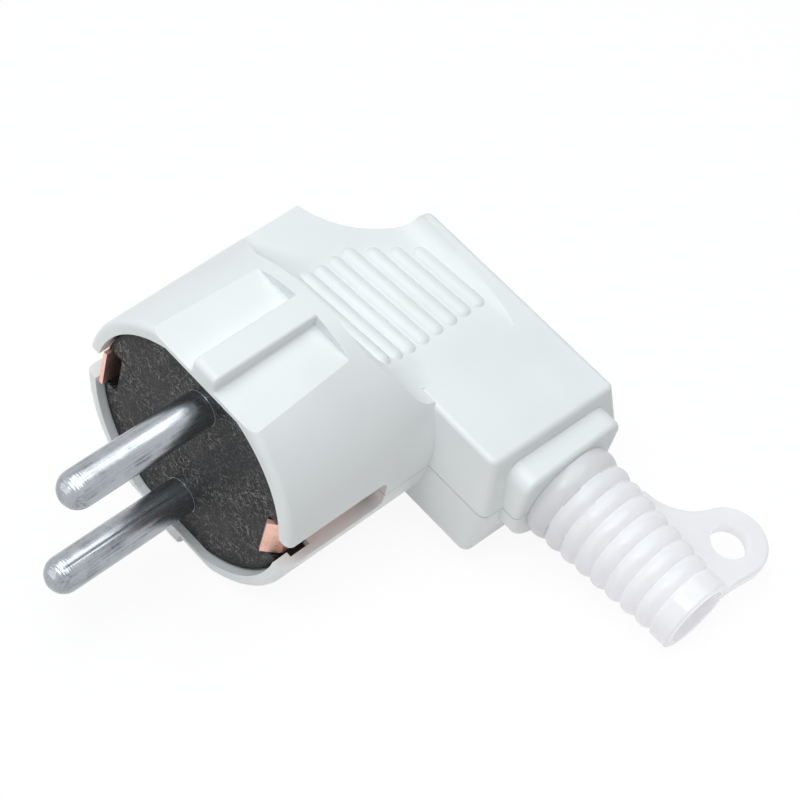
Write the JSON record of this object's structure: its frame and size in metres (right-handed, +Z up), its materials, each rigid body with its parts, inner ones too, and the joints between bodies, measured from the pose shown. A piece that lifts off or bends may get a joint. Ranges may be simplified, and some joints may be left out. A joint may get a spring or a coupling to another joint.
{
  "type": "angled mains plug",
  "caption": "Angled round-pin mains plug with side earth contacts, a split housing with thumb rests, and a ribbed cord sleeve with a hanging eye.",
  "frame": {"origin": "midway between the two pins, in the plane of the housing's front rim", "axes": "-Y the way the pins point, +X the way the cord leaves (dipping with the plug's roll), +Z up with the plug lying on a table"},
  "size_m": [0.0707, 0.0692, 0.0365],
  "materials": {
    "housing": "satin moulded",
    "carrier": "fibre-filled moulding",
    "pin": "plated, drawn lengthwise",
    "copper": "bare copper",
    "screw": "zinc plated",
    "bush": "turned",
    "clamp": "moulded",
    "sleeve": "milky, translucent"
  },
  "bodies": {
    "root": {"upper_shell": "housing", "lower_shell": "housing", "pin_carrier": "carrier", "upper_pin": "pin", "lower_pin": "pin", "upper_terminal_screw": "screw", "lower_terminal_screw": "screw", "upper_terminal_washer": "screw", "lower_terminal_washer": "screw", "earth_strap": "copper", "earth_screw": "screw", "earth_washer": "screw", "earth_nut": "screw", "cord_clamp": "clamp", "front_clamp_screw": "screw", "rear_clamp_screw": "screw", "front_housing_screw": "screw", "rear_housing_screw": "screw", "front_threaded_bush": "bush", "rear_threaded_bush": "bush", "cable_sleeve": "sleeve"}
  },
  "joints": []
}
